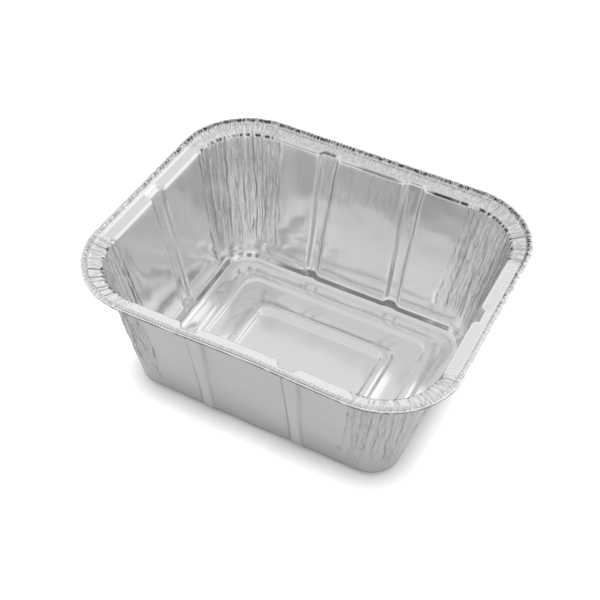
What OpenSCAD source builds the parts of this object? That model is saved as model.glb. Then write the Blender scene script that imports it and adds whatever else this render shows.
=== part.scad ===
// Foil drip pan: one sheet of aluminium foil drawn into a tapered tray.
// The sheet runs from the middle of the floor over two raised ridges, up the
// slanting foot and the wall, out along the flange and round the rolled edge.
// Millimetres, +Z up, origin under the middle of the floor.

/* [Rim] */
// Overall length over the rolled edge
rim_length = 152.4; // [146:0.2:170]
// Overall width over the rolled edge
rim_width = 127; // [122:0.2:148]
// Plan radius of the rolled edge at each corner
rim_corner_r = 31.1; // [29:0.1:36]
// Outside diameter of the rolled edge
curl_d = 2.4; // [1.8:0.1:3]
// Width of the flange between the rolled edge and the bend into the wall
flange_width = 4.1; // [3.5:0.1:6.5]
// Fall of the flange from the rolled edge to the bend
flange_fall = 1; // [0:0.1:1.4]
// Step down from the middle of the rolled edge to the flange
flange_step = 1.1; // [0.6:0.1:1.2]
// Radius of the bend from the flange into the wall
bend_r = 1.3; // [0.8:0.1:2]

/* [Body] */
// Overall height
pan_height = 63.5; // [45:0.5:75]
// Lean of the walls from upright, in degrees
wall_draft = 11.1; // [6:0.1:13]
// Height of the slanting foot between wall and floor
foot_rise = 2.9; // [2:0.1:5]
// Width of the slanting foot in plan
foot_run = 2.5; // [1.5:0.1:4]
// Thickness of the foil
foil = 0.2; // [0.15:0.01:0.3]

/* [Wall ribs] */
// Distance of each long-wall rib from the middle of its wall
rib_offset = 19.5; // [12:0.5:26]
// Width of a rib at the flange
rib_top_w = 9.4; // [6:0.2:12]
// Width of a rib at the foot
rib_foot_w = 6.4; // [4:0.2:8]
// Plan width of each sloping flank of a rib
rib_flank = 1.3; // [0.8:0.1:1.8]
// Depth of a rib at the flange
rib_top_depth = 2; // [0.8:0.1:2.4]
// Depth of a rib at the foot
rib_foot_depth = 1.4; // [0.6:0.1:2]

/* [Floor ridges] */
// Distance from the foot of the wall to the outer ridge
outer_ridge_in = 5.4; // [3:0.1:8]
// Distance from the foot of the wall to the inner ridge
inner_ridge_in = 20.8; // [16:0.1:24]
// Width of the outer ridge over both slopes
outer_ridge_w = 6.6; // [4:0.1:8]
// Width of the inner ridge over both slopes
inner_ridge_w = 5.8; // [4:0.1:7]
// Width of each slope of a ridge
ridge_slope = 1.5; // [0.8:0.1:1.9]
// Height of a ridge
ridge_h = 1; // [0.4:0.1:2]
// Plan radius of the outer ridge's outer corners
outer_ridge_r = 8; // [5:0.5:10]
// Plan radius of the inner ridge's outer corners
inner_ridge_r = 5.5; // [4:0.5:8]
// How much tighter a ridge's inner corners are than its outer ones
ridge_r_loss = 2; // [0:0.5:3]

/* [Corner pleats] */
// Depth of the gathered pleats in each corner, to either side of the wall
pleat_depth = 0.5; // [0.1:0.02:0.6]
// Depth of the crimp lines across the flange at each corner
crimp_depth = 0.35; // [0:0.05:0.5]
// Height above the floor where most pleats have died out
pleat_end = 8.5; // [6:0.5:20]
// How unevenly the pleats stand, as a share of their pitch
pleat_jitter = 0.3; // [0:0.05:0.35]

/* [Hidden] */

// Places round one corner, both ends of its arc included
CORNER_STEPS = 22;
// Places across one rib: foot, crown, crown, foot
RIB_STEPS = 4;
// Angles round the rolled edge, from its root on the flange to its tucked end
CURL_ANGLES = [196, 135, 90, 45, 0, -45, -90, -125];
// Share of the flange's height where the pleats have reached their full depth
PLEAT_FULL = 0.4;
// Least height over which a pleat dies out
PLEAT_RUN = 6;
// Share of the wall's height at each level between foot and bend
WALL_LEVELS = [0.1, 0.34, 0.6, 0.84];

curl_r = (curl_d - foil) / 2;
curl_z = pan_height - curl_d / 2;
half_l = (rim_length - curl_d) / 2;
half_w = (rim_width - curl_d) / 2;
edge_r = rim_corner_r - curl_d / 2;

// The sheet's middle surface, as distances in from the rolled edge's centre line
flange_start = curl_r + 0.25 * curl_d;
flange_end = flange_start + flange_width;
flange_z = curl_z - flange_step - flange_fall;
bend_end = flange_end + bend_r * (1 - sin(wall_draft));
bend_z = flange_z - bend_r * cos(wall_draft);
foot_z = foil / 2 + foot_rise;
foot_in = bend_end + (bend_z - foot_z) * tan(wall_draft);
floor_in = foot_in + foot_run;
floor_z = foil / 2;

// One level of the sheet. in: distance in from the rolled edge, z: height,
// r: plan corner radius, rib: push of the rib crowns, lift: their rise,
// pleat and crimp: shares of the corner depths.
function level(in, z, r, rib=0, lift=0, pleat=0, crimp=0) = [in, z, r, rib, lift, pleat, crimp];
function plan_r(in) = edge_r - in;
function mix(a, b, t) = a + (b - a) * t;
function height_share(z) = (z - foot_z) / (flange_z - foot_z);
function rib_depth(z) = mix(rib_foot_depth, rib_top_depth, height_share(z));

function curl_level(angle) =
    level(-curl_r * cos(angle), curl_z + curl_r * sin(angle), plan_r(-curl_r * cos(angle)),
          crimp = 0.45);

function wall_level(share) =
    let(z = mix(foot_z, bend_z, share), in = foot_in - (z - foot_z) * tan(wall_draft))
    level(in, z, plan_r(in), rib = rib_depth(z), pleat = 1);

// Four levels over a ridge that starts a distance in from the foot of the wall
function ridge_levels(start, width, r) = [
    for (step = [[0, 0], [ridge_slope, ridge_h], [width - ridge_slope, ridge_h], [width, 0]])
        level(floor_in + start + step[0], floor_z + step[1], r - ridge_r_loss * step[0] / width)
];

bend_mid = flange_end + bend_r * 0.6;
bend_mid_z = flange_z - bend_r * 0.28;

// Every level of the sheet, from the tucked edge of the roll to the inner ridge
LEVELS = concat(
    [for (i = [len(CURL_ANGLES) - 1:-1:0]) curl_level(CURL_ANGLES[i])],
    [level(flange_start, flange_z + flange_fall, plan_r(flange_start), crimp = 1),
     level(flange_end, flange_z, plan_r(flange_end), rib = rib_top_depth, pleat = 0.3, crimp = 1),
     level(bend_mid, bend_mid_z, plan_r(bend_mid), rib = rib_top_depth, pleat = 0.7, crimp = 0.6),
     level(bend_end, bend_z, plan_r(bend_end), rib = rib_top_depth, pleat = 1)],
    [for (i = [len(WALL_LEVELS) - 1:-1:0]) wall_level(WALL_LEVELS[i])],
    [level(foot_in, foot_z, plan_r(foot_in), rib = rib_foot_depth,
           lift = rib_foot_depth * foot_rise / foot_run),
     level(floor_in, floor_z, plan_r(floor_in))],
    ridge_levels(outer_ridge_in, outer_ridge_w, outer_ridge_r),
    ridge_levels(inner_ridge_in, inner_ridge_w, inner_ridge_r)
);

// Upright direction of the sheet between two levels, towards the inside of the pan
function upright(a, b) = let(d = [b[0] - a[0], b[1] - a[1]]) [-d[1], d[0]] / norm(d);
// Shift across the sheet at a level that keeps both skins parallel to it
function across(k) =
    let(last = len(LEVELS) - 1,
        before = upright(LEVELS[max(0, k - 1)], LEVELS[max(1, k)]),
        after = upright(LEVELS[min(last - 1, k)], LEVELS[min(last, k + 1)]))
    (before + after) / (1 + before * after);

// Ribs on one side of the pan: two on a long side, one on a short side
function rib_places(side) = side % 2 == 1 ? [-rib_offset, rib_offset] : [0];
function rib_half(z) =
    mix(rib_foot_w, rib_top_w, pow(max(0, min(1, height_share(z))), 2)) / 2;

// Where the step-th point across a rib lies along its side, and its push
function rib_shift(step, z) =
    (step < 2 ? -1 : 1) * (rib_half(z) - (step % 3 == 0 ? 0 : rib_flank));
function rib_crown(step) = step % 3 == 0 ? 0 : 1;

// Where the step-th point round a corner lies, in degrees, at uneven distances
function corner_angle(side, step) =
    90 / (CORNER_STEPS - 1)
    * (step + (step == 0 || step == CORNER_STEPS - 1 ? 0
               : pleat_jitter * sin(step * 157 + side * 83)));

// Alternate points round a corner stand in and out, no two pleats alike, and
// each pleat dies out at its own height
function pleat_wave(side, step, z) =
    step == 0 || step == CORNER_STEPS - 1 ? 0
    : (step % 2 == 0 ? 1 : -1) * (0.72 + 0.28 * sin(step * 137 + side * 71))
      * pleat_fade(z, pleat_end * (1 + 0.7 * sin(floor(step / 2) * 83 + side * 29)));
function pleat_fade(z, end) =
    min(1, max(0, (z - end) / max(PLEAT_RUN, PLEAT_FULL * flange_z - end)));
function crimp_wave(side, step) =
    step == 0 || step == CORNER_STEPS - 1 ? 0
    : (step % 2 == 0 ? 0 : -1) * (0.7 + 0.3 * sin(step * 101 + side * 53));

// Straight part of a side shrinks on the floor, and the rib points with it
function spread(lev, side) =
    let(run = (side % 2 == 1 ? half_l : half_w))
    min(1, (run - lev[0] - lev[2]) / (run - floor_in - plan_r(floor_in)));

// Points of one side and the corner after it, shifted by skin = [in, up]
function side_points(lev, side, skin) =
    let(n = [cos(90 * side), sin(90 * side)], t = [-sin(90 * side), cos(90 * side)],
        reach = (side % 2 == 1 ? half_w : half_l) - lev[0],
        run = (side % 2 == 1 ? half_l : half_w) - lev[0] - lev[2],
        tight = spread(lev, side))
    concat(
        [for (place = rib_places(side), step = [0:RIB_STEPS - 1])
            let(u = tight * (place + rib_shift(step, lev[1])), crown = rib_crown(step),
                p = (reach + crown * lev[3] - skin[0]) * n + u * t)
            [p[0], p[1], lev[1] + crown * lev[4] + skin[1]]],
        [for (step = [0:CORNER_STEPS - 1])
            let(angle = corner_angle(side, step),
                push = lev[5] * pleat_depth * pleat_wave(side, step, lev[1]) - skin[0],
                p = (reach - lev[2]) * n + run * t
                    + (lev[2] + push) * (cos(angle) * n + sin(angle) * t))
            [p[0], p[1], lev[1] + lev[6] * crimp_depth * crimp_wave(side, step) + skin[1]]]
    );

function ring(lev, skin) = [for (side = [0:3]) each side_points(lev, side, skin)];

COUNT = len(ring(LEVELS[0], [0, 0]));
LAST = len(LEVELS) - 1;

// Two triangles across each cell between neighbouring rings
function cell(a, b, c, d) = [[a, b, c], [a, c, d]];
function band(first, second, flip) =
    [for (i = [0:COUNT - 1])
        let(j = (i + 1) % COUNT)
        each (flip ? cell(first + i, second + i, second + j, first + j)
                   : cell(first + i, first + j, second + j, second + i))];

module foil_pan() {
    inside = [for (k = [0:LAST]) ring(LEVELS[k], across(k) * foil / 2)];
    outside = [for (k = [0:LAST]) ring(LEVELS[k], -across(k) * foil / 2)];
    under = COUNT * (LAST + 1);
    top_middle = 2 * under;
    points = concat(
        [for (r = inside) each r], [for (r = outside) each r],
        [[0, 0, floor_z + foil / 2], [0, 0, floor_z - foil / 2]]);
    skins = [for (k = [0:LAST - 1])
        each concat(band(COUNT * k, COUNT * (k + 1), true),
                    band(under + COUNT * k, under + COUNT * (k + 1), false))];
    middle = [for (i = [0:COUNT - 1])
        let(j = (i + 1) % COUNT)
        each [[COUNT * LAST + i, top_middle, COUNT * LAST + j],
              [under + COUNT * LAST + j, top_middle + 1, under + COUNT * LAST + i]]];
    color([0.84, 0.85, 0.86])
        polyhedron(points, concat(skins, middle, band(0, under, false)));
}

foil_pan();
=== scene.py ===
import math
import random

import bmesh
import bpy
from mathutils import Matrix, Vector, noise


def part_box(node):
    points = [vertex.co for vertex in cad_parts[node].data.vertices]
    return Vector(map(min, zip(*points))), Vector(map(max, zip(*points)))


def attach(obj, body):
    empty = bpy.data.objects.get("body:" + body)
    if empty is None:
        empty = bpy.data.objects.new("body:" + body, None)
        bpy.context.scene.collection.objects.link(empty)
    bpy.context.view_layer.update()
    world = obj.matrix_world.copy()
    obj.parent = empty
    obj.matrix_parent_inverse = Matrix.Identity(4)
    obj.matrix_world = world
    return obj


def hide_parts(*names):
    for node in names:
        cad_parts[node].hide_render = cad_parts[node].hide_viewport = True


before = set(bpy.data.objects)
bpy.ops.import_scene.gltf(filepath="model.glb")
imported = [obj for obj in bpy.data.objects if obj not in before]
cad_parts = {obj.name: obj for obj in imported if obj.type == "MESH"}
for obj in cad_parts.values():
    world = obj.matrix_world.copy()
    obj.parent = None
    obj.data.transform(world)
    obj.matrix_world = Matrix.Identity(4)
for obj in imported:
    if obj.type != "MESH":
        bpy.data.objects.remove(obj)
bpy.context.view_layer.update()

# The camera looks down into the pan from the front right, with the long side
# running away to the upper left and a slight roll, as in a hand-set product view.
CAMERA_AZIMUTH = math.radians(25.55)
CAMERA_ELEVATION = math.radians(45.2)
CAMERA_ROLL = math.radians(2.52)
CAMERA_DISTANCE = 0.4554
CAMERA_LENS = 67.8
aim = Vector((-0.0043, 0.0017, 0.0300))
back = Vector((
    math.sin(CAMERA_AZIMUTH) * math.cos(CAMERA_ELEVATION),
    -math.cos(CAMERA_AZIMUTH) * math.cos(CAMERA_ELEVATION),
    math.sin(CAMERA_ELEVATION),
))
camera = bpy.data.objects.new("camera", bpy.data.cameras.new("camera"))
camera.data.sensor_width = 36
camera.data.lens = CAMERA_LENS
camera.data.clip_start = 0.01
camera.data.clip_end = 20
camera.location = aim + back * CAMERA_DISTANCE
camera.rotation_mode = "QUATERNION"
camera.rotation_quaternion = (
    Matrix.Rotation(CAMERA_ROLL, 3, back).to_quaternion() @ (-back).to_track_quat("-Z", "Y")
)
bpy.context.collection.objects.link(camera)
bpy.context.scene.camera = camera

# The pan is one sheet of household foil, pressed in one stroke between a punch
# and a die and rolled over at its edge. Its walls stay smooth where the sheet
# was stretched, and gather into folds at the corners. Lengths are millimetres.
MM = 1000
box_low, box_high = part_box("foil_pan")
CURL_RADIUS = 1.12
SLACK = 0.08
half_l = box_high[0] * MM - CURL_RADIUS - SLACK
half_w = box_high[1] * MM - CURL_RADIUS - SLACK
curl_middle = box_high[2] * MM - CURL_RADIUS - SLACK
EDGE_RADIUS = 29.9
FLANGE_START = 1.5
FLANGE_END = 5.8
FLANGE_STEP = 1.1
FLANGE_FALL = 1.0
BEND_RADIUS = 1.3
DRAFT = math.radians(11.1)
FOOT_Z = 3.0
FOOT_RUN = 2.5
FLOOR_Z = 0.1
flange_z = curl_middle - FLANGE_STEP - FLANGE_FALL
bend_turn = math.pi / 2 - DRAFT
bend_end = FLANGE_END + BEND_RADIUS * math.sin(bend_turn)
bend_z = flange_z - BEND_RADIUS * (1 - math.cos(bend_turn))
foot_in = bend_end + (bend_z - FOOT_Z) * math.tan(DRAFT)
floor_in = foot_in + FOOT_RUN


def smooth(t):
    t = min(1.0, max(0.0, t))
    return t * t * (3 - 2 * t)


def mix(a, b, t):
    return a + (b - a) * t


# The sheet is a grid: its rows are levels of the press tool's profile, from the
# tucked end of the rolled edge to the middle of the floor, where two ridges are
# pressed up. A level is (zone, share of the zone, inset, height, corner radius).
RIDGES = ((5.4, 6.6, 8.0), (20.8, 5.8, 5.5))
RIDGE_SLOPE = 1.7
RIDGE_HEIGHT = 0.85
RIDGE_RADIUS_LOSS = 2.0
ROLL_TURNS = (-140, -105, -75, -52, -36, -20, 2, 30, 62, 96, 130, 165)
CENTRE_RINGS = (0.84, 0.64, 0.42, 0.2, 0.0)


def level(zone, t, inset, z, radius=None):
    return zone, t, inset, z, EDGE_RADIUS - inset if radius is None else radius


def profile():
    levels = []
    for turn in ROLL_TURNS:
        levels.append(level("roll", turn, -CURL_RADIUS * math.cos(math.radians(turn)),
                            curl_middle + CURL_RADIUS * math.sin(math.radians(turn))))
    for t in [k / 5 for k in range(5)]:
        levels.append(level("flange", t, mix(FLANGE_START, FLANGE_END, t),
                            flange_z + FLANGE_FALL * (1 - t)))
    for t in [k / 5 for k in range(5)]:
        levels.append(level("bend", t, FLANGE_END + BEND_RADIUS * math.sin(bend_turn * t),
                            flange_z - BEND_RADIUS * (1 - math.cos(bend_turn * t))))
    for t in [k / 28 for k in range(28)]:
        levels.append(level("wall", t, mix(bend_end, foot_in, t), mix(bend_z, FOOT_Z, t)))
    for t in [k / 3 for k in range(3)]:
        levels.append(level("foot", t, mix(foot_in, floor_in, t), mix(FOOT_Z, FLOOR_Z, t)))
    inset, radius = floor_in, EDGE_RADIUS - floor_in
    for start, width, ridge_radius in RIDGES:
        for t in (0, 0.5):
            levels.append(level("floor", t, mix(inset, floor_in + start, t), FLOOR_Z,
                                mix(radius, ridge_radius, t)))
        slope = [RIDGE_SLOPE * share for share in (0, 0.27, 0.5, 0.73, 1)]
        for across in slope + [width - part for part in slope[:0:-1]]:
            rise = smooth(across / RIDGE_SLOPE) * smooth((width - across) / RIDGE_SLOPE)
            levels.append(level("floor", 1, floor_in + start + across,
                                FLOOR_Z + RIDGE_HEIGHT * rise,
                                ridge_radius - RIDGE_RADIUS_LOSS * across / width))
        inset, radius = floor_in + start + width, ridge_radius - RIDGE_RADIUS_LOSS
    levels.append(level("floor", 1, inset, FLOOR_Z, radius))
    return levels


# The grid's columns are stations round the rim, one side and the corner after it
# at a time. They stand close where a rib or a gathered corner needs them.
RIB_OFFSET = 19.5
RIB_TOP = 9.4
RIB_FOOT = 6.4
RIB_FLANK = 1.3
RIB_TOP_DEPTH = 2.0
RIB_FOOT_DEPTH = 1.4
CORNER_STEPS = 92
NEAR_CORNER = 7.0
NEAR_STEPS = 11
PLAIN_STEP = 3.2
RIB_COLUMNS = 14
rib_lift = RIB_FOOT_DEPTH * (FOOT_Z - FLOOR_Z) / FOOT_RUN


def ribs_of(side):
    return (-RIB_OFFSET, RIB_OFFSET) if side % 2 else (0,)


def side_stations(side):
    half = (half_l if side % 2 else half_w) - EDGE_RADIUS
    reach = RIB_TOP / 2 + 1.2
    near = [NEAR_CORNER * k / NEAR_STEPS for k in range(NEAR_STEPS + 1)]
    marks = [-half + part for part in near]
    for rib in ribs_of(side):
        marks += [rib + reach * (2 * k / RIB_COLUMNS - 1) for k in range(RIB_COLUMNS + 1)]
    marks += [half - part for part in reversed(near)]
    places = []
    for a, b in zip(marks, marks[1:]):
        count = max(1, round((b - a) / PLAIN_STEP))
        places += [a + (b - a) * k / count for k in range(count)]
    return [(side, place, 0.0) for place in places] + [
        (side, half, 90 * k / CORNER_STEPS) for k in range(CORNER_STEPS)
    ]


def rib_at(side, along, z):
    """How far a point across a rib lies on its crown, from 0 to 1."""
    share = min(1.0, max(0.0, (z - FOOT_Z) / (flange_z - FOOT_Z)))
    half = mix(RIB_FOOT, RIB_TOP, share ** 2) / 2
    return max(smooth((half - abs(along - rib)) / RIB_FLANK) for rib in ribs_of(side))


# At a corner the rim has more sheet than room, so the sheet folds over on itself.
# Long folds run from the rolled edge down the wall and close up before the foot;
# short slanting ones lie between them. A fold rises slowly and drops back sharply.
FOLD_REACH = 20.5
FOLD_PITCH = (1.2, 3.1)
FOLD_DEPTH = (0.12, 0.55)
FOLD_SPREAD = 0.84
FOLD_DROP = 0.45
SHORT_FOLDS = 26
CRIMP_PITCH = (3, 11)
CRIMP_FORCE = (1.0, 0.4, 1.1, 0.45)


def folds_of(corner):
    draw = random.Random(31 + corner)
    folds = []
    at = draw.uniform(0.3, 1.5) - FOLD_REACH
    while at < FOLD_REACH:
        folds.append({
            "at": at, "lean": draw.uniform(-1, 1), "depth": draw.uniform(*FOLD_DEPTH),
            "top": 99, "end": draw.uniform(4, 18), "flip": draw.choice((1, 1, -1)),
            "slow": draw.uniform(0.8, 1.5),
        })
        at += draw.uniform(*FOLD_PITCH)
    for k in range(SHORT_FOLDS):
        top = draw.uniform(14, 52)
        folds.append({
            "at": draw.uniform(-19, 19), "lean": draw.uniform(-6, 6),
            "depth": draw.uniform(0.12, 0.35), "top": top, "end": top - draw.uniform(6, 15),
            "flip": draw.choice((1, -1)), "slow": draw.uniform(0.5, 1.1),
        })
    return folds


def crimps_of(corner):
    """Corner columns where a crimp line crosses the flange, with their strengths."""
    draw = random.Random(77 + corner)
    crimps, column = {}, 3
    while column < CORNER_STEPS - 2:
        crimps[column] = CRIMP_FORCE[corner] * draw.uniform(0.3, 1.3)
        column += draw.randint(*CRIMP_PITCH)
    return crimps


FOLDS = [folds_of(corner) for corner in range(4)]
CRIMPS = [crimps_of(corner) for corner in range(4)]


def folded(corner, along, z):
    """Depth of the folds at a distance round a corner's middle, and the shade painted into their
    valleys.
    """
    depth, painted_shade = 0.0, 0.0
    height = z / flange_z
    for k, fold in enumerate(FOLDS[corner]):
        middle = fold["at"] * mix(FOLD_SPREAD, 1, height) + fold["lean"] * (1 - height)
        if abs(along - middle) > 3:
            continue
        here = smooth((z - fold["end"]) / 8) * smooth((fold["top"] - z) / 5 + 1)
        seed = Vector((3.7 * k, 51.3 * corner, 0.1 * z))
        middle += 0.9 * noise.noise(seed) + 0.35 * noise.noise(seed * 3.1)
        away = (along - middle) * fold["flip"]
        if here and -fold["slow"] < away < FOLD_DROP:
            here *= mix(0.35, 1, smooth(1.3 * noise.noise(seed * 1.7) + 0.5))
            slope = 1 + away / fold["slow"] if away < 0 else 1 - away / FOLD_DROP
            depth += fold["depth"] * here * slope ** 1.4
            # Painted shade: a dark line along the valley of each fold.
            painted_shade = max(painted_shade, here * fold["depth"] * 2.4 * max(0.0, 1 - abs(away) / 0.4))
    return depth, min(1.0, painted_shade)


# Handling leaves the thin sheet a little out of true: broad soft dents in the
# walls, a floor that isn't quite flat, and a front edge that bows inwards.
DENT_DEPTH = 0.22
STREAK = 0.8
WAVE = 0.9
FLUTE = 1.2
FLUTES = ((-19.4, 2.6, 62), (-10.5, 2.2, 52), (-4.0, 1.6, 36))
HOLLOW = 1.2
HOLLOW_AT = Vector((-58, 31, 10))
FLOOR_WAVE = 0.16
SAG = 0.6
CRUMPLE = Vector((-25, 47))
# How dark the painted shade on the rib flanks is.
RIB_SHADE = 0.3
BOW_AT = 6.0
BOW_WIDTH = 22.0
BOW_DEPTH = 0.8


def dent(spot, zone, t):
    if zone != "wall":
        return 0.0
    shape = noise.noise(spot / 19 + Vector((7.3, 1.9, 4.4)))
    shape += 0.5 * noise.noise(spot / 8 + Vector((2.1, 5.5, 8.8)))
    hanging = noise.noise(Vector((spot.x / 3.2, spot.y / 3.2, spot.z / 30)))
    level_waves = noise.noise(Vector((spot.x / 26, spot.y / 26, spot.z / 3.4)))
    leaning = spot.y + 0.2 * spot.z
    at_left = smooth((-spot.x - 50) / 8)
    shape = shape * (1 - 0.85 * at_left) + STREAK * hanging * smooth((0.55 - t) / 0.4)
    for middle, width, top in FLUTES:
        ridge = math.exp(-((leaning - middle) / width) ** 2)
        shape += FLUTE * at_left * ridge * smooth((top - spot.z) / 12)
    shape += HOLLOW * math.exp(-((spot - HOLLOW_AT).length / 7) ** 2)
    shape += WAVE * level_waves * smooth((t - 0.45) / 0.3) * smooth(spot.y / 20)
    return DENT_DEPTH * shape * smooth(t / 0.15) * smooth((1 - t) / 0.1)


LEVELS = profile()
STATIONS = [station for side in range(4) for station in side_stations(side)]


def sheet_normal(row):
    """Direction towards the inside of the pan at a level, as (outward, up)."""
    before, after = LEVELS[max(0, row - 1)], LEVELS[min(len(LEVELS) - 1, row + 1)]
    outward, up = before[2] - after[2], after[3] - before[3]
    size = math.hypot(outward, up)
    return up / size, -outward / size


NORMALS = [sheet_normal(row) for row in range(len(LEVELS))]
FOLD_SHARE = {"roll": 0.12, "flange": 0.15, "bend": 0.7, "wall": 1.0, "foot": 0.0, "floor": 0.0}
GATHER_END = 6.0
DRAWN = 0.05
# Spans along the back side, with their strengths, where shade is painted under the flange's inner
# edge.
UNDER_FLANGE_SHADE = ((-43, -27, 1.0), (-12, 4, 0.6), (17, 24, 0.8))


def place(station, row, scale=1.0):
    """A point of the sheet, its shares of gather and painted shade, and its drift round the rim."""
    side, along, arc = station
    zone, t, inset, z, radius = LEVELS[row]
    turn = math.pi / 2 * side
    out = Vector((math.cos(turn), math.sin(turn), 0))
    run = Vector((-math.sin(turn), math.cos(turn), 0))
    reach = (half_w if side % 2 else half_l) - inset
    straight = (half_l if side % 2 else half_w) - inset - radius
    full = (half_l if side % 2 else half_w) - EDGE_RADIUS
    share = min(1.0, max(0.0, (z - FOOT_Z) / (flange_z - FOOT_Z)))
    half_arc = math.radians(45) * radius
    painted_shade, lift = 0.0, 0.0
    if arc == 0:
        crown = rib_at(side, along, z)
        push = crown * mix(RIB_FOOT_DEPTH, RIB_TOP_DEPTH, share)
        if zone in ("roll", "floor"):
            push = 0.0
        elif zone == "flange":
            push *= t ** 2
        elif zone == "wall":
            lift = crown * rib_lift * math.exp((FOOT_Z - z) / 5)
        elif zone == "foot":
            push, lift = push * (1 - t), crown * rib_lift * (1 - t)
        spot = out * (reach + push) + run * along * min(1.0, straight / full)
        away = out
        corner = side if along > 0 else (side - 1) % 4
        beyond = full - abs(along)
        round_corner = math.copysign(half_arc + beyond, -along)
    else:
        away = out * math.cos(math.radians(arc)) + run * math.sin(math.radians(arc))
        spot = out * (reach - radius) + run * straight + away * radius
        corner, beyond = side, 0.0
        round_corner = math.radians(arc - 45) * radius
    spot = spot * scale
    spot.z = z + lift
    drawn = DRAWN
    drawn += 0.2 * smooth((z - 35) / 15) * smooth((17 - abs(spot.x)) / 3) * smooth(spot.y / 9)
    gather = max(smooth(1 - beyond / mix(9, 3, share)), drawn if zone == "wall" else 0.0)
    gather *= smooth((z - GATHER_END) / 8)
    drift = (half_arc / mix(FOLD_SPREAD, 1, share) - math.radians(45) * (EDGE_RADIUS - bend_end))
    drift *= (arc - 45) / 45 if arc else math.copysign(1 - smooth(beyond / 15), -along)
    depth = 0.0
    if FOLD_SHARE[zone] and beyond < 10:
        depth, painted_shade = folded(corner, round_corner, min(z, flange_z))
        depth *= FOLD_SHARE[zone]
        painted_shade *= FOLD_SHARE[zone]
    # A crimp dents the flange a little and also paints a dark line of shade across it.
    if arc and zone in ("flange", "bend"):
        crimp = CRIMPS[side].get(round(arc / 90 * CORNER_STEPS), 0.0)
        depth += 0.16 * crimp
        painted_shade = max(painted_shade, 0.7 * crimp)
    # Painted shade in dashes along the flange's inner edge: at every corner, and in the given spans
    # of the back side.
    if zone == "bend" and (arc or side == 1):
        shade_dashes = noise.noise(Vector((along * 0.9, arc * 0.42, side * 7)))
        dark = 1.0 if arc else max((k for a, b, k in UNDER_FLANGE_SHADE if a < along < b), default=0.0)
        painted_shade = max(painted_shade, dark * smooth(shade_dashes * 3 + (0.4 if arc else 1.1)) * smooth(t / 0.4))
    # On the rolled edge, painted shade: a dark line along the underside of the front bead, and dark
    # rows on the back bead's inner side that stand in for its darker reflection.
    if zone == "roll":
        bead_underside_shade = smooth((22 - t) / 30) * smooth(0.2 - 2 * away.y)
        ridge_shadow = 0.65 * math.exp(-((t - 140) / 28) ** 2) * smooth(1.6 * away.y)
        painted_shade = max(painted_shade, bead_underside_shade * (0.85 + 0.5 * noise.noise(spot * 0.5)),
                     ridge_shadow * (0.85 + 0.7 * noise.noise(spot * 0.3)))
    # Painted shade on the rib flanks, darkest in the middle of each flank.
    if arc == 0 and zone == "wall":
        painted_shade = max(painted_shade, RIB_SHADE * 4 * crown * (1 - crown))
    if zone in ("wall", "foot"):
        low = smooth((t - 0.85) / 0.15) if zone == "wall" else 1 - t
        spot.z += SAG * low * noise.noise(Vector((spot.x / 13, spot.y / 13, 2.5)))
        ripple = 0.4 * mix(0.2, 1, smooth(beyond / 6))
        spot.z += ripple * SAG * low * noise.noise(Vector((spot.x / 4, spot.y / 4, 6.5)))
        crumpled = low * smooth(1 - (Vector((spot.x, spot.y)) - CRUMPLE).length / 9)
        depth += crumpled * noise.noise(spot / 1.6)
    depth += dent(spot, zone, t)
    spot += (away * NORMALS[row][0] + Vector((0, 0, NORMALS[row][1]))) * -depth
    if zone == "floor":
        spot.z += FLOOR_WAVE * (0.5 + 0.5 * noise.noise(spot / 21)) * smooth(
            (inset - floor_in) / 4)
    if side == 3 or spot.y < 0:
        bow = math.exp(-(((spot.x - BOW_AT) / BOW_WIDTH) ** 2)) * smooth(z / flange_z)
        spot.y += BOW_DEPTH * bow * smooth(-spot.y / 30)
    return spot, gather, min(1.0, painted_shade), drift if zone in ("wall", "bend") else 0.0


bm = bmesh.new()
rows = len(LEVELS) + len(CENTRE_RINGS)
columns = len(STATIONS) + 1
bmesh.ops.create_grid(bm, x_segments=columns - 1, y_segments=rows - 1, size=1)
# Layers for the gathered share, the painted shade, and the crimp bumps and painted dark speckle of
# the rolled edge.
gathered = bm.verts.layers.float.new("gather")
painted_shade_layer = bm.verts.layers.float.new("painted_shade")
rolled = bm.verts.layers.float.new("roll")
around = [0.0]
for first, second in zip(STATIONS, STATIONS[1:] + STATIONS[:1]):
    row = len([lev for lev in LEVELS if lev[0] in ("roll", "flange")])
    around.append(around[-1] + (place(second, row)[0] - place(first, row)[0]).length)
down = [0.0]
for before, after in zip(LEVELS, LEVELS[1:]):
    down.append(down[-1] + math.hypot(after[2] - before[2], after[3] - before[3]))
down += [down[-1] + 10 * (1 - ring) for ring in CENTRE_RINGS]
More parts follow.
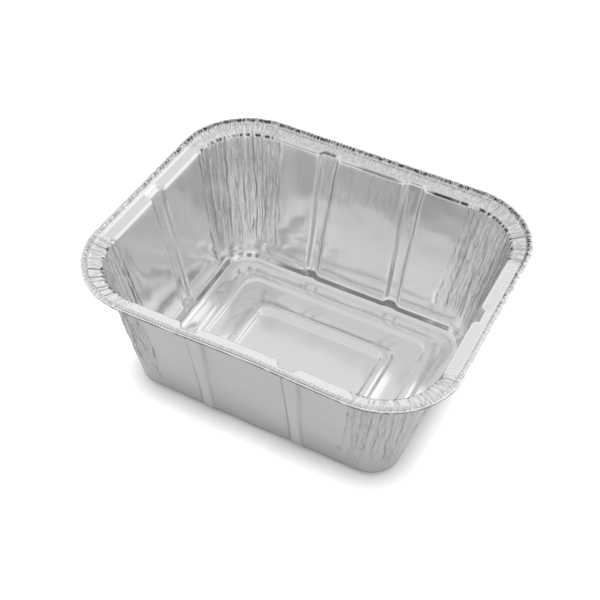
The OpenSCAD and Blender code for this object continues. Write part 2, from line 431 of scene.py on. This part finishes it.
# Per side, how strongly the flange is crimped and speckled with painted dark reflection.
FLANGE_CRIMPS_AND_SPECK_SHADE = (0.05, 0.2, 0.04, 0.06)
uv = bm.loops.layers.uv.new("sheet")
on_map = {}
for vert in bm.verts:
    column = round((vert.co.x + 1) / 2 * (columns - 1))
    row = round((1 - vert.co.y) / 2 * (rows - 1))
    level_row = min(row, len(LEVELS) - 1)
    scale = 1.0 if row < len(LEVELS) else CENTRE_RINGS[row - len(LEVELS)]
    spot, gather, painted_shade, drift = place(STATIONS[column % len(STATIONS)], level_row, scale)
    on_map[vert] = (around[column] + drift) / MM, down[row] / MM
    vert.co = spot
    vert[gathered] = gather
    vert[painted_shade_layer] = painted_shade
    zone, turn = LEVELS[level_row][:2]
    side, along, arc = STATIONS[column % len(STATIONS)]
    on_flange = 0.2 if arc else FLANGE_CRIMPS_AND_SPECK_SHADE[side]
    # The roll layer sets both the crimp bumps and the painted dark speckle of the rolled edge and
    # flange. It is stronger towards the back, where the bead is painted darker.
    bead_crimps_and_speck_shade = 0.3 + 1.2 * math.exp(-((turn - 130) / 30) ** 2)
    trim = {"roll": bead_crimps_and_speck_shade, "flange": on_flange}.get(zone, 0.0)
    vert[rolled] = trim * mix(0.35, 1, smooth((spot.y + 20) / 60))
for face in bm.faces:
    for loop in face.loops:
        loop[uv].uv = on_map[loop.vert]
bmesh.ops.remove_doubles(bm, verts=bm.verts, dist=0.0005)
bmesh.ops.dissolve_degenerate(bm, edges=bm.edges, dist=0.0002)
bmesh.ops.recalc_face_normals(bm, faces=bm.faces)
bmesh.ops.scale(bm, vec=(1 / MM, 1 / MM, 1 / MM), verts=bm.verts)
for face in bm.faces:
    face.smooth = True
mesh = bpy.data.meshes.new("foil_pan_sheet")
bm.to_mesh(mesh)
bm.free()
sheet = bpy.data.objects.new("foil_pan_sheet", mesh)
bpy.context.collection.objects.link(sheet)
thickness = sheet.modifiers.new("foil", "SOLIDIFY")
thickness.thickness = 0.00012
thickness.offset = 0

# Foil has a bright side and a dull side, and the pan is pressed with the bright side in. The rolling
# mill left a fine grain along the sheet, the press left small dents, and the folds and the rolled
# edge are crimped. Shade is painted into the colour as a dark, less metallic tone: in the fold
# valleys, across the crimps, under the rolled edge, along the flange's inner edge and on the rib
# flanks. Dark speckle painted on the rolled edge and flange stands in for their mottled reflection.
marks = bpy.data.node_groups.new("press_marks", "ShaderNodeTree")
marks.interface.new_socket("Dent Depth", in_out="INPUT", socket_type="NodeSocketFloat")
marks.interface.new_socket("Normal", in_out="OUTPUT", socket_type="NodeSocketVector")
marks.interface.new_socket("Wear", in_out="OUTPUT", socket_type="NodeSocketFloat")
marks.interface.new_socket("Painted Shade", in_out="OUTPUT", socket_type="NodeSocketFloat")


def texture(tree, source, scale, stretch, detail):
    """A noise over the object or over the sheet's own map, stretched per axis."""
    mapping = tree.nodes.new("ShaderNodeMapping")
    mapping.inputs["Scale"].default_value = stretch
    pattern = tree.nodes.new("ShaderNodeTexNoise")
    pattern.inputs["Scale"].default_value = scale
    pattern.inputs["Detail"].default_value = detail
    tree.links.new(source, mapping.inputs["Vector"])
    tree.links.new(mapping.outputs["Vector"], pattern.inputs["Vector"])
    return pattern.outputs["Fac"]


def maths(tree, kind, *values, clamp=False):
    node = tree.nodes.new("ShaderNodeMath")
    node.operation = kind
    node.use_clamp = clamp
    for socket, value in zip(node.inputs, values):
        if isinstance(value, (int, float)):
            socket.default_value = value
        else:
            tree.links.new(value, socket)
    return node.outputs[0]


def bump(tree, height, distance, strength, below=None):
    node = tree.nodes.new("ShaderNodeBump")
    node.inputs["Distance"].default_value = distance
    for name, value in (("Height", height), ("Strength", strength), ("Normal", below)):
        if isinstance(value, float):
            node.inputs[name].default_value = value
        elif value is not None:
            tree.links.new(value, node.inputs[name])
    return node.outputs["Normal"]


def share(tree, name):
    node = tree.nodes.new("ShaderNodeAttribute")
    node.attribute_name = name
    return node.outputs["Fac"]


given = marks.nodes.new("NodeGroupInput")
made = marks.nodes.new("NodeGroupOutput")
on_object = marks.nodes.new("ShaderNodeTexCoord").outputs["Object"]
sheet_map = marks.nodes.new("ShaderNodeUVMap")
sheet_map.uv_map = "sheet"
on_sheet = sheet_map.outputs["UV"]
dents = texture(marks, on_object, 90, (1, 1, 1), 2)
grain = texture(marks, on_object, 60, (1, 24, 24), 2)
streaks = texture(marks, on_sheet, 1, (480, 42, 1), 3)
ridged = maths(marks, "ABSOLUTE", maths(marks, "SUBTRACT", streaks, 0.5))
thin_lines = maths(marks, "MULTIPLY_ADD", ridged, -40, 1, clamp=True)
# The crimp noise bumps the rolled edge and, thresholded, gives its painted dark speckle.
crimps = texture(marks, on_sheet, 1, (1300, 420, 1), 2)
speck_shade = maths(marks, "MULTIPLY_ADD", crimps, 10, -4.5, clamp=True)
surface = bump(marks, dents, 0.0004, given.outputs["Dent Depth"])
surface = bump(marks, grain, 0.00002, 0.3, surface)
surface = bump(marks, maths(marks, "MULTIPLY", ridged, share(marks, "gather")),
               0.0012, 0.9, surface)
surface = bump(marks, maths(marks, "MULTIPLY", crimps, share(marks, "roll")),
               0.0009, 1.0, surface)
marks.links.new(surface, made.inputs["Normal"])
marks.links.new(dents, made.inputs["Wear"])
# Painted shade: a thin dark line pattern in the gathered folds, and dark speckle on the rolled edge
# and flange.
painted_fold_lines = maths(marks, "MULTIPLY", maths(marks, "MULTIPLY", thin_lines, share(marks, "gather")), 0.42)
painted_specks = maths(marks, "MULTIPLY", speck_shade, share(marks, "roll"), clamp=True)
marks.links.new(maths(marks, "MAXIMUM", share(marks, "painted_shade"), maths(marks, "MAXIMUM", painted_fold_lines, painted_specks)),
                made.inputs["Painted Shade"])


def foil_side(name, colour, shadow, roughness, dent_depth):
    side = bpy.data.materials.new(name)
    side.use_nodes = True
    tree = side.node_tree
    shader = tree.nodes["Principled BSDF"]
    shader.inputs["Specular IOR Level"].default_value = 0
    pressed = tree.nodes.new("ShaderNodeGroup")
    pressed.node_tree = marks
    pressed.inputs["Dent Depth"].default_value = dent_depth
    tree.links.new(pressed.outputs["Normal"], shader.inputs["Normal"])
    tree.links.new(maths(tree, "MULTIPLY_ADD", pressed.outputs["Wear"], 0.08, roughness),
                   shader.inputs["Roughness"])
    # The painted shade mixes the foil's colour towards its dark shadow colour.
    tone = tree.nodes.new("ShaderNodeMix")
    tone.data_type = "RGBA"
    tone.inputs["A"].default_value = colour
    tone.inputs["B"].default_value = shadow
    tree.links.new(pressed.outputs["Painted Shade"], tone.inputs["Factor"])
    tree.links.new(tone.outputs["Result"], shader.inputs["Base Color"])
    # Where shade is painted, the foil also loses its metal and turns dark and matte.
    tree.links.new(maths(tree, "MULTIPLY_ADD", pressed.outputs["Painted Shade"], -0.9, 1),
                   shader.inputs["Metallic"])
    return side


mesh.materials.append(
    foil_side("foil_bright", (0.92, 0.92, 0.92, 1), (0.08, 0.08, 0.08, 1), 0.1, 0.12))
# The outer, dull side: its dark colour is partly the duller finish and partly painted shade on the
# outside of the pan.
mesh.materials.append(
    foil_side("foil_dull_and_shaded", (0.4, 0.4, 0.4, 1), (0.37, 0.37, 0.37, 1), 0.28, 0.12))
thickness.material_offset = 1
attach(sheet, "root")
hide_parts("foil_pan")

# The pan stands on a plain white table that reaches past the frame on all sides.
# The table's glow is dimmed by ambient occlusion where the pan stands close over it, which paints a
# tight soft shadow round the foot.
bm = bmesh.new()
bmesh.ops.create_grid(bm, x_segments=1, y_segments=1, size=6)
bmesh.ops.translate(bm, vec=(0, 0, -0.0003), verts=bm.verts)
mesh = bpy.data.meshes.new("table")
bm.to_mesh(mesh)
bm.free()
table = bpy.data.objects.new("table", mesh)
bpy.context.collection.objects.link(table)
white = bpy.data.materials.new("table_white")
white.use_nodes = True
nodes, links = white.node_tree.nodes, white.node_tree.links
shader = nodes["Principled BSDF"]
shader.inputs["Base Color"].default_value = (0.3, 0.3, 0.3, 1)
shader.inputs["Roughness"].default_value = 1
shader.inputs["Specular IOR Level"].default_value = 0
shader.inputs["Emission Color"].default_value = (1, 1, 1, 1)
ray = nodes.new("ShaderNodeLightPath")
tree = white.node_tree
seen = maths(tree, "ADD", ray.outputs["Is Camera Ray"], ray.outputs["Is Glossy Ray"])
seen = maths(tree, "ADD", seen, ray.outputs["Is Transmission Ray"], clamp=True)
# Ambient occlusion dims the table's glow next to the pan: a painted contact shadow.
painted_shadow_ao = nodes.new("ShaderNodeAmbientOcclusion")
painted_shadow_ao.samples = 16
painted_shadow_ao.inputs["Distance"].default_value = 0.011
glow = maths(tree, "MULTIPLY", painted_shadow_ao.outputs["AO"], 1.0)
links.new(maths(tree, "MULTIPLY", seen, glow), shader.inputs["Emission Strength"])
mesh.materials.append(white)

# A white tent lights the pan from every side, its walls a little more than its roof.
# Dark flags round the camera, which the camera doesn't see, give the foil something
# to reflect other than white, and a soft lamp behind the pan brightens the left flange.
TENT_WALL = 0.96
TENT_ROOF = 0.7
TENT_FLAG = 0.88
world = bpy.data.worlds.new("tent")
bpy.context.scene.world = world
world.use_nodes = True
nodes, links = world.node_tree.nodes, world.node_tree.links
nodes["Background"].inputs["Color"].default_value = (1, 1, 1, 1)
direction = nodes.new("ShaderNodeSeparateXYZ")
links.new(nodes.new("ShaderNodeTexCoord").outputs["Generated"], direction.inputs[0])
fade = nodes.new("ShaderNodeMapRange")
fade.inputs["From Min"].default_value = 0.3
fade.inputs["From Max"].default_value = 0.92
fade.inputs["To Min"].default_value = TENT_WALL
fade.inputs["To Max"].default_value = TENT_ROOF
links.new(direction.outputs["Z"], fade.inputs["Value"])
side = nodes.new("ShaderNodeMath")
side.operation = "MULTIPLY_ADD"
side.inputs[1].default_value = 0.06
links.new(direction.outputs["X"], side.inputs[0])
links.new(fade.outputs["Result"], side.inputs[2])
links.new(side.outputs[0], nodes["Background"].inputs["Strength"])


def towards(azimuth, elevation):
    azimuth, elevation = math.radians(azimuth), math.radians(elevation)
    return Vector((math.sin(azimuth) * math.cos(elevation),
                   -math.cos(azimuth) * math.cos(elevation), math.sin(elevation)))


felt = bpy.data.materials.new("flag_felt")
felt.use_nodes = True
nodes, links = felt.node_tree.nodes, felt.node_tree.links
nodes.remove(nodes["Principled BSDF"])
middle = nodes.new("ShaderNodeVectorMath")
middle.operation = "LENGTH"
links.new(nodes.new("ShaderNodeTexCoord").outputs["Object"], middle.inputs[0])
fade = nodes.new("ShaderNodeMapRange")
fade.interpolation_type = "SMOOTHSTEP"
fade.inputs["From Min"].default_value = 0.4
fade.inputs["From Max"].default_value = 1
fade.inputs["To Min"].default_value = 0.2
fade.inputs["To Max"].default_value = TENT_FLAG
links.new(middle.outputs["Value"], fade.inputs["Value"])
glow = nodes.new("ShaderNodeEmission")
links.new(fade.outputs["Result"], glow.inputs["Strength"])
links.new(glow.outputs["Emission"], nodes["Material Output"].inputs["Surface"])
bm = bmesh.new()
bmesh.ops.create_circle(bm, cap_ends=True, segments=64, radius=1)
mesh = bpy.data.meshes.new("flag")
bm.to_mesh(mesh)
bm.free()
mesh.materials.append(felt)
FLAG_DISTANCE = 2.0
FLAGS = (("front_flag", -20, 36, 0.8), ("side_flag", 62, 30, 0.6),
         ("high_flag", 85, 52, 0.35), ("camera_flag", 25, 45, 0.5))
for name, azimuth, elevation, radius in FLAGS:
    flag = bpy.data.objects.new(name, mesh)
    flag.matrix_world = (
        Matrix.Translation(towards(azimuth, elevation) * FLAG_DISTANCE)
        @ towards(azimuth, elevation).to_track_quat("Z", "Y").to_matrix().to_4x4()
        @ Matrix.Scale(radius, 4))
    bpy.context.collection.objects.link(flag)
    flag.visible_camera = False
    flag.visible_diffuse = False

lamp = bpy.data.objects.new("back_lamp", bpy.data.lights.new("back_lamp", "AREA"))
lamp.data.shape = "SQUARE"
lamp.data.size = 0.45
lamp.data.energy = 0.22
lamp.location = towards(172, 52) * 1.2
lamp.rotation_mode = "QUATERNION"
lamp.rotation_quaternion = towards(172, 52).to_track_quat("Z", "Y")
lamp.visible_camera = False
bpy.context.collection.objects.link(lamp)

bpy.context.scene.view_settings.view_transform = "Standard"
